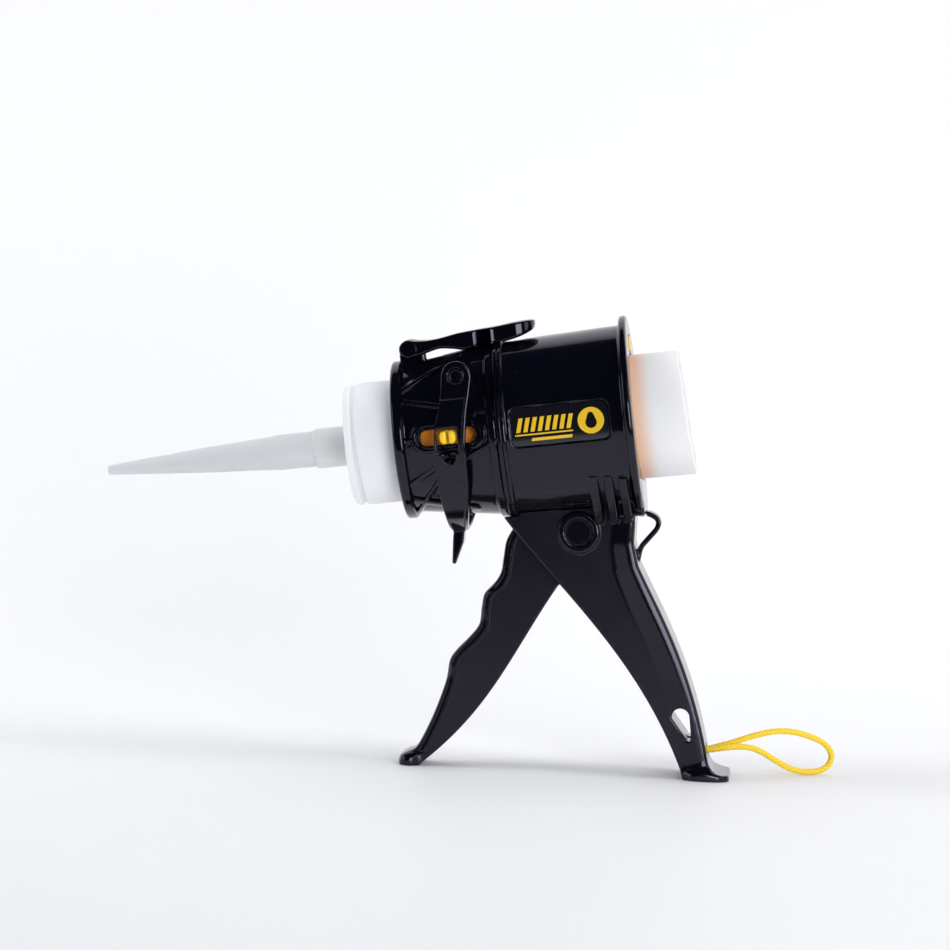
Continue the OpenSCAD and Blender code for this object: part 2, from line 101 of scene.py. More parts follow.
def rounded(x, z, x0, x1, z0, z1, r):
    """Rectangle with rounded corners."""
    a = np.abs(x - (x0 + x1) / 2) - (x1 - x0) / 2 + r
    b = np.abs(z - (z0 + z1) / 2) - (z1 - z0) / 2 + r
    return np.hypot(np.maximum(a, 0), np.maximum(b, 0)) + np.minimum(np.maximum(a, b), 0) - r


def stroke(x, z, points, w):
    """Line of width w through the points."""
    best = np.full(x.shape, 1e9)
    for (x0, z0), (x1, z1) in zip(points, points[1:]):
        dx, dz = x1 - x0, z1 - z0
        t = np.clip(((x - x0) * dx + (z - z0) * dz) / (dx * dx + dz * dz), 0, 1)
        best = np.minimum(best, (x - x0 - t * dx) ** 2 + (z - z0 - t * dz) ** 2)
    return np.sqrt(best) - w / 2


def polygon(x, z, points):
    inside = np.zeros(x.shape, bool)
    for (x0, z0), (x1, z1) in zip(points, points[1:] + points[:1]):
        if z0 != z1:
            inside ^= ((z0 > z) != (z1 > z)) & (x < (x1 - x0) * (z - z0) / (z1 - z0) + x0)
    edge = stroke(x, z, points + points[:1], 0)
    return np.where(inside, -edge, edge)


def disc(x, z, at, r):
    return np.hypot(x - at[0], z - at[1]) - r


def through(points, steps):
    """Smooth curve through every point, as in the CAD source."""
    p = np.array(points, float)
    out = []
    for i in range(len(p) - 1):
        a, b, c, d = p[max(i - 1, 0)], p[i], p[i + 1], p[min(i + 2, len(p) - 1)]
        for t in np.arange(steps) / steps:
            out.append(b + t * (c - a) / 2 + t * t * (a - 2.5 * b + 2 * c - d / 2)
                       + t ** 3 * (1.5 * b - 1.5 * c + (d - a) / 2))
    return np.array(out + [p[-1]])


def bezier(p0, p1, p2, p3):
    t = np.linspace(0, 1, 61)[:, None]
    s = 1 - t
    return s ** 3 * np.array(p0) + 3 * s * s * t * np.array(p1) + 3 * s * t * t * np.array(p2) + t ** 3 * np.array(p3)


class Edge:
    """x as a smooth function of z along a curve, with the cosine of its slope."""

    def __init__(self, points):
        p = np.array(points, float)
        p = p[np.argsort(p[:, 1])]
        self.z = np.linspace(p[0, 1], p[-1, 1], 600)
        x = np.interp(self.z, p[:, 1], p[:, 0])
        kernel = np.hanning(15)
        self.x = np.convolve(np.pad(x, 7, mode="reflect", reflect_type="odd"), kernel / kernel.sum(), "valid")
        self.c = 1 / np.hypot(1, np.gradient(self.x, self.z))

    def __call__(self, x, z):
        """Signed distance from the curve, positive on the side of larger x."""
        return (x - np.interp(z, self.z, self.x)) * np.interp(z, self.z, self.c)


# ---------- meshes ----------


def surface_net(field, low, high, h):
    """Quads along field == 0 in a box, with the vertices pulled onto it, and the field's own normals."""
    low, span = np.array(low, float), 4 * h
    count = np.ceil((np.array(high) - low) / span).astype(int)
    block = np.stack(np.meshgrid(*[np.arange(k) for k in count], indexing="ij"), -1).reshape(-1, 3)
    block = block[np.abs(field(low + (block + 0.5) * span)) < 1.15 * span]
    local = np.stack(np.meshgrid(*[np.arange(5)] * 3, indexing="ij"), -1).reshape(-1, 3)
    value = field((low + (block[:, None] * 4 + local).reshape(-1, 3) * h)).reshape(-1, 5, 5, 5)
    cell = np.stack(np.meshgrid(*[np.arange(4)] * 3, indexing="ij"), -1).reshape(-1, 3)
    corner = [(i, j, k) for i in (0, 1) for j in (0, 1) for k in (0, 1)]
    at = np.stack([value[:, i:i + 4, j:j + 4, k:k + 4].reshape(len(block), -1) for i, j, k in corner], -1)
    where = (block[:, None] * 4 + cell).reshape(-1, 3)
    at = at.reshape(-1, 8)
    inside = (at < 0).sum(1)
    live = (inside > 0) & (inside < 8)
    where, at = where[live], at[live]
    total, hits = np.zeros((len(at), 3)), np.zeros(len(at))
    for a in range(8):
        for b in range(a + 1, 8):
            p, q = np.array(corner[a]), np.array(corner[b])
            if np.abs(p - q).sum() == 1:
                crossed = (at[:, a] < 0) != (at[:, b] < 0)
                t = np.where(crossed, at[:, a] / np.where(crossed, at[:, a] - at[:, b], 1), 0)
                total += crossed[:, None] * (p + t[:, None] * (q - p))
                hits += crossed
    points = low + (where + total / hits[:, None]) * h
    size = count * 4 + 2
    key = ((where[:, 0] + 1) * size[1] + where[:, 1] + 1) * size[2] + where[:, 2] + 1
    order = np.argsort(key)
    key, points, where, at = key[order], points[order], where[order], at[order]
    step = np.array([size[1] * size[2], size[2], 1])
    quads = []
    for axis, far_corner in ((0, 4), (1, 2), (2, 1)):
        b, c = (axis + 1) % 3, (axis + 2) % 3
        crossed = (at[:, 0] < 0) != (at[:, far_corner] < 0)
        base, out = key[crossed], at[crossed, 0] < 0
        ring = np.stack([base, base - step[b], base - step[b] - step[c], base - step[c]], 1)
        ring[~out] = ring[~out][:, ::-1]
        spot = np.searchsorted(key, ring)
        good = (key[np.minimum(spot, len(key) - 1)] == ring).all(1)
        quads.append(spot[good])
    tetra = np.array([[1, -1, -1], [-1, -1, 1], [-1, 1, -1], [1, 1, 1]])

    def slope(p, e):
        return sum(t * field(p + t * e)[:, None] for t in tetra) / (4 * e)

    for _ in range(3):
        g = slope(points, 0.02)
        move = field(points)[:, None] * g / np.maximum((g * g).sum(1), 0.05)[:, None]
        points -= np.clip(move, -0.6 * h, 0.6 * h)
    g = slope(points, 0.05)
    return points, np.concatenate(quads), g / np.maximum(np.linalg.norm(g, axis=1), 1e-9)[:, None]


def piece(name, points, faces, body, paint, stands_for=(), normals=None, marks=None):
    """A smooth mesh in the row frame that rides on a body."""
    mesh = bpy.data.meshes.new(name)
    mesh.from_pydata(np.asarray(points, float).tolist(), [], [list(map(int, f)) for f in faces])
    mesh.polygons.foreach_set("use_smooth", [True] * len(mesh.polygons))
    if normals is not None:
        mesh.normals_split_custom_set_from_vertices(np.asarray(normals, float).tolist())
    for mark, values in (marks or {}).items():
        mesh.attributes.new(mark, "FLOAT", "POINT").data.foreach_set("value", np.asarray(values, np.float32))
    mesh.materials.append(paint)
    obj = bpy.data.objects.new(name, mesh)
    bpy.context.scene.collection.objects.link(obj)
    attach(obj, body)
    if stands_for:
        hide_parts(*stands_for)
    return obj


def solid(name, field, low, high, h, body, paint, stands_for=(), marks=None):
    """A piece from a distance field in gun millimetres."""
    points, quads, normals = surface_net(field, low, high, h)
    values = {mark: f(points) for mark, f in (marks or {}).items()}
    return piece(name, to_row(points), quads, body, paint, stands_for, normals @ TURN, values)


ARC = 6  # points round each corner


def profile(corners):
    """Rounds each (x, r, radius) corner of a closed outline. Returns points and outward normals."""
    p = np.array([c[:2] for c in corners], float)
    q = np.roll(p, -1, 0)
    if (p[:, 0] * q[:, 1] - p[:, 1] * q[:, 0]).sum() < 0:
        corners, p = corners[::-1], p[::-1]
    points, normals = [], []
    for i, (_, _, radius) in enumerate(corners):
        a, b, c = p[i - 1], p[i], p[(i + 1) % len(p)]
        d0, d1 = (b - a) / np.linalg.norm(b - a), (c - b) / np.linalg.norm(c - b)
        turn = math.atan2(d0[0] * d1[1] - d0[1] * d1[0], d0 @ d1)
        reach = min(max(radius, 0.03) * abs(math.tan(turn / 2)),
                    0.48 * np.linalg.norm(b - a), 0.48 * np.linalg.norm(c - b))
        start = math.atan2(-d0[0], d0[1])
        n0, n1 = np.array([d0[1], -d0[0]]), np.array([d1[1], -d1[0]])
        bend = 1 if turn > 0 else -1
        r = reach / max(abs(math.tan(turn / 2)), 1e-6)
        centre = b - bend * r * (n0 + n1) / (1 + n0 @ n1)
        for t in np.linspace(0, 1, ARC):
            n = np.array([math.cos(start + t * turn), math.sin(start + t * turn)])
            points.append(centre + bend * r * n)
            normals.append(n)
    return np.array(points), np.array(normals)


def grid_faces(rows, cols, closed_rows=False, closed_cols=True):
    i, j = np.meshgrid(np.arange(rows if closed_rows else rows - 1),
                       np.arange(cols if closed_cols else cols - 1), indexing="ij")
    i, j = i.ravel(), j.ravel()
    a, b = (i + 1) % rows, (j + 1) % cols
    return np.stack([i * cols + j, a * cols + j, a * cols + b, i * cols + b], 1)


def lathe(corners, sides, at=(0, 0, 0), axis="u", capped=False):
    """Turns an outline of (x, r, radius) corners about an axis. Returns row points, faces and normals."""
    flat, normal = profile(corners)
    if capped:
        half = ARC // 2
        flat, normal = flat[half:-half], normal[half:-half]
    angle = np.arange(sides) / sides * 2 * math.pi
    ca, sa = np.cos(angle), np.sin(angle)

    def spin(q, offset):
        along = np.repeat(q[:, :1], sides, 1)
        first, second = q[:, 1:] * ca, q[:, 1:] * sa
        if axis == "u":
            out = np.stack([along, first, second], -1)
        else:
            out = np.stack([first, along, -second], -1)
        return out.reshape(-1, 3) + np.array(offset)

    faces = grid_faces(len(flat), sides, not capped).tolist()
    if capped:
        faces += [list(range(sides))[::-1], list(range((len(flat) - 1) * sides, len(flat) * sides))]
    points, normals = spin(flat, at), spin(normal, (0, 0, 0))
    q = faces[sides * (len(flat) // 3)]
    facing = np.cross(points[q[2]] - points[q[0]], points[q[3]] - points[q[1]])
    if facing @ normals[q].sum(0) < 0:
        faces = [f[::-1] for f in faces]
    return to_row(points), faces, normals @ TURN


def turned(name, corners, body, slot, paint, stands_for=(), **how):
    points, faces, normals = lathe(corners, **how)
    return piece(name, points, faces, body, paint, stands_for, normals)


def sweep(path, sides, up=(0, 0, 1)):
    """Unit vectors outward from each point of a path, in rings that don't twist against their neighbours."""
    d = np.gradient(path, axis=0)
    d /= np.linalg.norm(d, axis=1)[:, None]
    u = np.cross(up, d[0])
    u /= np.linalg.norm(u)
    angle = np.arange(sides) / sides * 2 * math.pi
    out = []
    for t in d:
        u = u - t * (u @ t)
        u /= np.linalg.norm(u)
        out.append(np.outer(np.cos(angle), u) + np.outer(np.sin(angle), np.cross(t, u)))
    return np.array(out)


# ---------- materials ----------

# sockets of a Mix node that mixes colours
SHARE, MIX_A, MIX_B, MIXED = 0, 6, 7, 2


class Paint:
    """A Principled material with a few nodes wired to it."""

    def __init__(self, name, **sockets):
        self.material = bpy.data.materials.new(name)
        self.material.use_nodes = True
        self.tree = self.material.node_tree
        self.shader = self.tree.nodes["Principled BSDF"]
        for key, value in sockets.items():
            self.shader.inputs[key.replace("_", " ")].default_value = value
        self.where = self.tree.nodes.new("ShaderNodeTexCoord").outputs["Object"]

    def add(self, kind, inputs, output=0, **settings):
        node = self.tree.nodes.new("ShaderNode" + kind)
        for key, value in settings.items():
            setattr(node, key, value)
        for key, value in inputs.items():
            if isinstance(value, bpy.types.NodeSocket):
                self.tree.links.new(value, node.inputs[key])
            else:
                node.inputs[key].default_value = value
        return node.outputs[output]

    def noise(self, scale, detail=3.0, rough=0.5, where=None):
        return self.add("TexNoise", {"Vector": where or self.where, "Scale": scale, "Detail": detail,
                                     "Roughness": rough})

    def remap(self, value, low, high, out_low, out_high):
        return self.add("MapRange", {0: value, 1: low, 2: high, 3: out_low, 4: out_high})

    def math(self, what, a, b):
        return self.add("Math", {0: a, 1: b}, operation=what)

    def mix(self, share, a, b):
        node = self.tree.nodes.new("ShaderNodeMix")
        node.data_type = "RGBA"
        for spot, value in ((SHARE, share), (MIX_A, a), (MIX_B, b)):
            if isinstance(value, bpy.types.NodeSocket):
                self.tree.links.new(value, node.inputs[spot])
            else:
                node.inputs[spot].default_value = value
        return node.outputs[MIXED]

    def mark(self, name):
        return self.add("Attribute", {}, output="Fac", attribute_name=name)

    def bump(self, *layers):
        """Each layer is (height, depth in metres)."""
        last = None
        for height, depth in layers:
            inputs = {"Height": height, "Distance": depth, "Strength": 1.0}
            if last is not None:
                inputs["Normal"] = last
            last = self.add("Bump", inputs)
        self.tree.links.new(last, self.shader.inputs["Normal"])

    def feed(self, socket, value):
        self.tree.links.new(value, self.shader.inputs[socket])


def rgb(r, g, b):
    return (r, g, b, 1.0)


def black_plastic(name, rough, etched, tint):
    """Glossy moulded black with faint flow marks and dust. Where mark 'web' is 1 it is finely etched."""
    p = Paint(name, IOR=1.47, Specular_Tint=rgb(0.82, 0.79, 1.0))
    cloud = p.noise(38.0, 4.0, 0.6)
    grain = p.noise(2600.0, 2.0, 0.6)
    speck = p.remap(p.noise(900.0, 1.0, 0.5), 0.74, 0.8, 0.0, 1.0)
    scratch = p.remap(p.noise(1.0, 5.0, 0.7, p.add("Mapping", {"Vector": p.where, "Scale": (90, 900, 520)})),
                      0.68, 0.78, 0.0, 0.55)
    dust = p.math("MAXIMUM", p.math("MULTIPLY", speck, p.remap(cloud, 0.45, 0.7, 0.0, 0.5)),
                  p.math("MULTIPLY", scratch, p.remap(cloud, 0.5, 0.75, 0.0, 0.25)))
    p.feed("Base Color", p.mix(dust, rgb(*tint), rgb(0.09, 0.09, 0.1)))
    web = p.mark("web")
    base = p.remap(cloud, 0.3, 0.7, rough * 0.8, rough * 1.3)
    p.feed("Roughness", p.math("ADD", base, p.math("ADD", p.math("MULTIPLY", web, etched),
                                                   p.math("MULTIPLY", dust, 0.5))))
    p.bump((p.noise(55.0, 2.0, 0.4), 0.00009), (grain, 0.0000022),
           (p.math("MULTIPLY", grain, web), 0.000007))
    return p.material


def steel(name, colour, rough):
    p = Paint(name, Metallic=1.0)
    brushed = p.noise(1.0, 4.0, 0.6, p.add("Mapping", {"Vector": p.where, "Scale": (700, 6000, 700)}))
    p.feed("Base Color", p.mix(p.noise(120.0), rgb(*colour), rgb(*[c * 0.75 for c in colour])))
    p.feed("Roughness", p.remap(brushed, 0.3, 0.7, rough * 0.8, rough * 1.5))
    p.bump((brushed, 0.000008))
    return p.material


def polyethylene(name, tint, stain, rough, scatter, painted_bounce=False, **sockets):
    """Waxy white plastic with faint smudges, and optionally an orange band painted near the back: painted reflected
    light standing in for light thrown on it by the yellow carriage.
    """
    p = Paint(name, IOR=1.5, Subsurface_Weight=scatter, Subsurface_Scale=0.004, **sockets)
    p.shader.inputs["Subsurface Radius"].default_value = (1.0, 0.85, 0.7)
    smudge = p.remap(p.noise(60.0, 6.0, 0.65), 0.5, 0.8, 0.0, 0.5)
    colour = p.mix(smudge, rgb(*tint), rgb(*stain))
    # painted light: an orange band near the tube's back, painted into its colour for light bounced off the yellow
    # carriage
    if painted_bounce:
        xyz = p.add("SeparateXYZ", {0: p.where})
        node = xyz.node
        along = p.math("ADD", p.math("MULTIPLY", node.outputs[0], COS), p.math("MULTIPLY", node.outputs[2], SIN))
        start = (NOSE[0] * COS + NOSE[2] * SIN + 97.0) / 1000
        fade = {0: along, 1: start, 2: start + 0.01, 3: 0.8, 4: 0.0}
        painted_bounce_share = p.math("MULTIPLY", p.add("MapRange", fade, interpolation_type="SMOOTHERSTEP"),
                      p.remap(along, start - 0.03, start - 0.02, 0.0, 1.0))
        colour = p.mix(painted_bounce_share, colour, rgb(0.98, 0.52, 0.3))
    p.feed("Base Color", colour)
    drawn = p.noise(1.0, 3.0, 0.6, p.add("Mapping", {"Vector": p.where, "Scale": (60, 800, 800)}))
    p.feed("Roughness", p.remap(p.noise(200.0), 0.3, 0.7, rough * 0.85, rough * 1.2))
    p.bump((drawn, 0.00003), (p.noise(900.0), 0.000006))
    return p.material


BLACK = (0.0018, 0.0018, 0.004)
shell_paint = black_plastic("black_shell", 0.1, 0.08, BLACK)
grip_paint = black_plastic("black_grip", 0.13, 0.12, (0.0026, 0.0022, 0.0042))
steel_paint = steel("bright_steel", (0.6, 0.61, 0.63), 0.25)
spring_paint = steel("spring_steel", (0.42, 0.43, 0.45), 0.3)
bronze_paint = steel("bronze", (0.62, 0.4, 0.18), 0.38)
zinc_paint = steel("cast_zinc", (0.58, 0.59, 0.6), 0.45)
# the white tube carries the painted orange bounce light near its back
tube_paint = polyethylene("white_tube", (0.93, 0.93, 0.94), (0.9, 0.895, 0.89), 0.42, 0.25,
                          painted_bounce=True)
nozzle_paint = polyethylene("clear_nozzle", (0.94, 0.94, 0.95), (0.92, 0.92, 0.92), 0.34, 0.35,
                            Transmission_Weight=0.35)


def yellow_plastic():
    p = Paint("yellow", IOR=1.5, Subsurface_Weight=0.2, Subsurface_Scale=0.003)
    p.shader.inputs["Subsurface Radius"].default_value = (1.0, 0.5, 0.1)
    # painted shade: the carriage is coloured a darker orange as its shade inside the barrel; the mark brings back its
    # plain yellow where it shows in the light
    p.feed("Base Color", p.mix(p.mark("lug"), rgb(0.9, 0.3, 0.02), rgb(0.95, 0.62, 0.02)))
    p.feed("Roughness", p.remap(p.noise(300.0), 0.3, 0.7, 0.26, 0.4))
    p.bump((p.noise(140.0), 0.00003))
    return p.material


yellow_paint = yellow_plastic()


def ink(name, colour, rough):
    """Printed film with a slightly uneven gloss."""
    p = Paint(name, IOR=1.5, Coat_Weight=0.3, Coat_Roughness=0.08)
    p.feed("Base Color", p.mix(p.noise(500.0), rgb(*colour), rgb(*[c * 0.9 for c in colour])))
    p.feed("Roughness", p.remap(p.noise(90.0), 0.3, 0.7, rough, rough * 1.4))
    p.bump((p.noise(1500.0), 0.000003))
    return p.material


film_paint = ink("label_film", (0.006, 0.006, 0.008), 0.14)
print_paint = ink("label_print", (0.84, 0.53, 0.012), 0.3)


def cord_paint():
    p = Paint("cord", Sheen_Weight=0.25, Sheen_Roughness=0.5)
    fibre = p.noise(1.0, 3.0, 0.7, p.add("Mapping", {"Vector": p.where, "Scale": (5200, 5200, 5200)}))
    low = p.mix(fibre, rgb(0.55, 0.27, 0.003), rgb(0.68, 0.37, 0.005))
    high = p.mix(fibre, rgb(1.0, 0.68, 0.008), rgb(1.0, 0.78, 0.03))
    # the fibre noise is the yarn's own tone; the darker colour in the braid's gaps, where crown is low, is painted
    # shade
    p.feed("Base Color", p.mix(p.mark("crown"), low, high))
    p.feed("Roughness", p.remap(fibre, 0.3, 0.7, 0.5, 0.72))
    p.bump((fibre, 0.00003))
    return p.material


braid_paint = cord_paint()

# ---------- stage, camera, light ----------

FLOOR_FRONT = -0.56


def sheet(name, line, half_width, paint):
    """A smooth sheet swept along x from a line of (y, z) points."""
    points = [(x, y, z) for y, z in line for x in (-half_width, half_width)]
    faces = [(2 * i, 2 * i + 1, 2 * i + 3, 2 * i + 2) for i in range(len(line) - 1)]
    mesh = bpy.data.meshes.new(name)
    mesh.from_pydata(points, [], faces)
    mesh.polygons.foreach_set("use_smooth", [True] * len(faces))
    mesh.materials.append(paint.material)
    obj = bpy.data.objects.new(name, mesh)
    bpy.context.scene.collection.objects.link(obj)
    return obj


def paper(name):
    p = Paint(name, Roughness=0.55, Specular_IOR_Level=0.3)
    p.feed("Base Color", p.mix(p.noise(3.0), rgb(0.86, 0.86, 0.87), rgb(0.88, 0.88, 0.89)))
    p.bump((p.noise(700.0), 0.00002))
    return p


def backdrop():
    """White sweep: flat floor, then a wide curve up behind the gun. Its back is clear, so other views see past it."""
    p = paper("backdrop")
    clear = p.add("BsdfTransparent", {})
    behind = p.add("NewGeometry", {}, output="Backfacing")
    both = p.add("MixShader", {0: behind, 1: p.shader.outputs[0], 2: clear})
    p.tree.links.new(both, p.tree.nodes["Material Output"].inputs["Surface"])
    line = [(FLOOR_FRONT, 0.0), (0.2, 0.0)]
    line += [(0.2 + 0.5 * math.sin(a), 0.5 - 0.5 * math.cos(a)) for a in np.linspace(0.05, math.pi / 2, 24)]
    sheet("backdrop", line + [(0.7, 1.35)], 3.2, p)
    # the floor this side of the sweep shows in other views, and doesn't light the gun
    floor = sheet("floor_front", [(-1.2, 0.0), (FLOOR_FRONT, 0.0)], 3.2, paper("floor_paper"))
    floor.visible_glossy = floor.visible_diffuse = floor.visible_transmission = floor.visible_shadow = False


def area_light(name, at, to, width, height, power, colour=(1, 1, 1), mirrored=True):
    data = bpy.data.lights.new(name, "AREA")
    data.shape = "RECTANGLE"
    data.size, data.size_y = width, height
    data.energy, data.color = power, colour
    obj = bpy.data.objects.new(name, data)
    obj.visible_glossy = mirrored
    obj.location = at
    obj.rotation_mode = "QUATERNION"
    obj.rotation_quaternion = (Vector(to) - Vector(at)).to_track_quat("-Z", "Y")
    bpy.context.scene.collection.objects.link(obj)


def camera():
    """Long lens, a little above the gun and a little round to its right, rolled as the gun was photographed."""
    az, el, roll = math.radians(4.5), math.radians(4.0), math.radians(2.13)
    back = Vector((math.sin(az) * math.cos(el), -math.cos(az) * math.cos(el), math.sin(el)))
    right = (-back).cross(Vector((0, 0, 1))).normalized()
    up = right.cross(-back)
    right, up = right * math.cos(roll) + up * math.sin(roll), up * math.cos(roll) - right * math.sin(roll)
    data = bpy.data.cameras.new("camera")
    data.lens, data.sensor_width = 151.579, 36
    data.clip_start, data.clip_end = 0.05, 20
    obj = bpy.data.objects.new("camera", data)
    target = Vector((0.02142, 0, 0.11975))
    obj.matrix_world = Matrix.Translation(target + back * 1.64) @ Matrix((right, up, back)).transposed().to_4x4()
    bpy.context.scene.collection.objects.link(obj)
    bpy.context.scene.camera = obj


def world():
    """A dark room for the gun's own light, pale where the camera looks straight at it."""
    scene = bpy.context.scene
    scene.world = bpy.data.worlds.new("room")
    scene.world.use_nodes = True
    tree = scene.world.node_tree
    sky = tree.nodes["Background"]
    room, seen = tree.nodes.new("ShaderNodeMix"), tree.nodes.new("ShaderNodeLightPath")
    room.data_type = "RGBA"
    room.inputs[MIX_A].default_value = rgb(0.016, 0.02, 0.04)
    room.inputs[MIX_B].default_value = rgb(0.94, 0.94, 0.95)
    tree.links.new(seen.outputs["Is Camera Ray"], room.inputs[SHARE])
    tree.links.new(room.outputs[MIXED], sky.inputs["Color"])
    sky.inputs["Strength"].default_value = 1.0
    scene.view_settings.view_transform = "Standard"


backdrop()
camera()
world()
area_light("overhead", (0.0, 0.2, 1.2), (0, 0.02, 0), 2.0, 0.9, 6, mirrored=False)
area_light("left", (-1.3, -0.55, 0.55), (0, 0, 0.1), 0.7, 0.9, 4.5, (0.9, 0.95, 1))
area_light("right", (1.35, -0.35, 0.6), (0, 0, 0.1), 0.6, 0.9, 3)
area_light("window", (0.72, -1.3, 0.36), (0, 0, 0.06), 0.8, 0.7, 13, (0.97, 0.98, 1))
area_light("wall_left", (-1.3, -0.1, 1.3), (-0.3, 0.7, 0.35), 0.8, 0.8, 10, mirrored=False)
area_light("wall_right", (1.3, -0.1, 1.3), (0.3, 0.7, 0.35), 0.8, 0.8, 9, mirrored=False)

# ---------- wrist cord ----------

CORD_D = 0.0026
CORD_ROUTE = [
    [0.116, 0.0014, 0.0112], [0.121, 0.0015, 0.0112], [0.126, 0.0022, 0.0126], [0.131, 0.0034, 0.014],
    [0.137, 0.0054, 0.016], [0.143, 0.008, 0.0176], [0.1495, 0.011, 0.0186], [0.1566, 0.0145, 0.018],
    [0.1632, 0.018, 0.016], [0.1686, 0.021, 0.0132], [0.1716, 0.0228, 0.0096], [0.172, 0.023, 0.0064],
    [0.1704, 0.022, 0.0034], [0.167, 0.02, 0.0018], [0.1626, 0.018, 0.0014], [0.158, 0.0156, 0.002],
    [0.1534, 0.013, 0.0038], [0.1486, 0.01, 0.0068], [0.144, 0.0072, 0.0098], [0.139, 0.0046, 0.012],
    [0.1335, 0.002, 0.0126], [0.128, -0.0004, 0.0122], [0.121, -0.0015, 0.0112], [0.116, -0.0014, 0.0112],
]


def braided_cord():
    """Ten-strand braid round the route: two families of five that pass over and under each other."""
    line = through(CORD_ROUTE, 60)
    run = np.concatenate([[0], np.cumsum(np.linalg.norm(np.diff(line, axis=0), axis=1))])
    rings, sides = 1500, 56
    s = np.linspace(0, run[-1], rings)
    path = np.stack([np.interp(s, run, line[:, k]) for k in range(3)], 1)
    around = sweep(path, sides)
    theta = np.arange(sides) / sides * 2 * math.pi
    strands, pitch = 5, 0.0046
    a = strands * theta[None] + s[:, None] / pitch * 2 * math.pi * 2
    b = strands * theta[None] - s[:, None] / pitch * 2 * math.pi * 2
    over = np.sin(a / 2) * np.sin(b / 2)
    first = np.abs(np.sin(a / 2)) ** 0.7 + 0.35 * np.sign(over) * np.abs(np.sin(b / 2))
    second = np.abs(np.sin(b / 2)) ** 0.7 - 0.35 * np.sign(over) * np.abs(np.sin(a / 2))
    crown = np.clip(np.maximum(first, second) / 1.35, 0, 1)
    radius = CORD_D / 2 * (0.78 + 0.22 * crown)
    points = (path[:, None] + around * radius[..., None]).reshape(-1, 3)
    faces = grid_faces(rings, sides)[:, ::-1].tolist()
    faces += [list(range(sides)), list(range(rings * sides - 1, (rings - 1) * sides - 1, -1))]
    # crown also sets the painted shade in the gaps between strands
    obj = piece("wrist_cord", points, faces, "root", braid_paint, ["strap_cord"],
                marks={"crown": crown.ravel()})


braided_cord()

# ---------- barrel ----------

# sizes in mm, with u in the gun frame
BARREL_R, BARREL_GROWS, BARREL_RUN = 35.8, 1.8, 47.5
FLANGE_R, GUN_END = 41.3, 97.2
BEAD_R = 37.2
TUBE_R, TUBE_END = 25.0, 118.2
BAIL_BORE, LEVER_BORE, BUSH_BORE, DRIVE_BORE = 3.35, 1.65, 4.6, 2.0
BAIL_IN, BAIL_OUT = 36.6, 39.6
LABEL_DEPTH = 0.6

TRIGGER_AT = (69.6, -44.2)
DRIVE_AT = (72.87, -30.59)
BAIL_AT = (28.8, 25.0)
LEVER_AT = (7.6, 36.8)
LUG_AT = (22.8, 1.0)


def barrel_radius(u):
    return BARREL_R + BARREL_GROWS * (u - 46) / BARREL_RUN


def barrel(p):
    u, y, v = p.T
    side = np.abs(y)
    r = np.hypot(y, v)
    d = meet(r - barrel_radius(u), slab(u, 44.6, 96.8), 0.3)
    d = join(d, rounded(u, r, 44.3, 45.9, 0, BEAD_R, 0.3), 0.7)
    d = join(d, rounded(u, r, 94, GUN_END, 0, FLANGE_R, 1.3), 1.3)
    d = join(d, meet(rounded(u, y, 86.5, GUN_END, -18, 18, 0.8), slab(v, -39.6, -20), 0.8), 0.8)
    recess = np.maximum(rounded(u, v, 48, 88, -6.25, 9.75, 3), barrel_radius(u) - LABEL_DEPTH - r)
    d = cut(d, recess, 0.55)
    d = cut(d, meet(r - 33, u - 94.6, 0.4), 0.4)
    d = cut(d, r - 26.4, 0.5)
    d = cut(d, np.maximum(rounded(y, v, -3.8, 3.8, 20, 33.2, 0.6), 90 - u), 0.3)
    d = cut(d, np.maximum(rounded(u, y, 60, 79.6, -9.8, 9.8, 0.6), v + 20), 0.4)
    d = cut(d, np.maximum(rounded(u, y, 59, 88, -1.6, 1.6, 1.5), 20 - v), 0.6)
    d = cut(d, np.sqrt((u - 50.5) ** 2 + y * y + (v - 47.4) ** 2) - 12, 0.8)
    oval = np.maximum(rounded(u, v, 65.2, 75.6, -31.9, -28.9, 1.45), 8 - side)
    return cut(d, np.maximum(oval, barrel_radius(u) - 0.65 - r), 0.4)


def nose_radius(u):
    return 31 + 5 * (u - 5.4) / 37


NOSE_RIBS = [
    ((5, 21), (36, 37.5), 2), ((4, 16.8), (24, 12.6), 1.8), ((4, 0), (20, 6.2), 1.8), ((5, -17.4), (22, -7.6), 2),
    ((5, -24.2), (30, -30.2), 1.8), ((4, -31), (24, -8), 1.6), ((24, 13.5), (43, 8.6), 1.4),
    ((24, -10.5), (43, -1.6), 1.4), ((40.4, 33), (40.4, -35), 3.2),
]


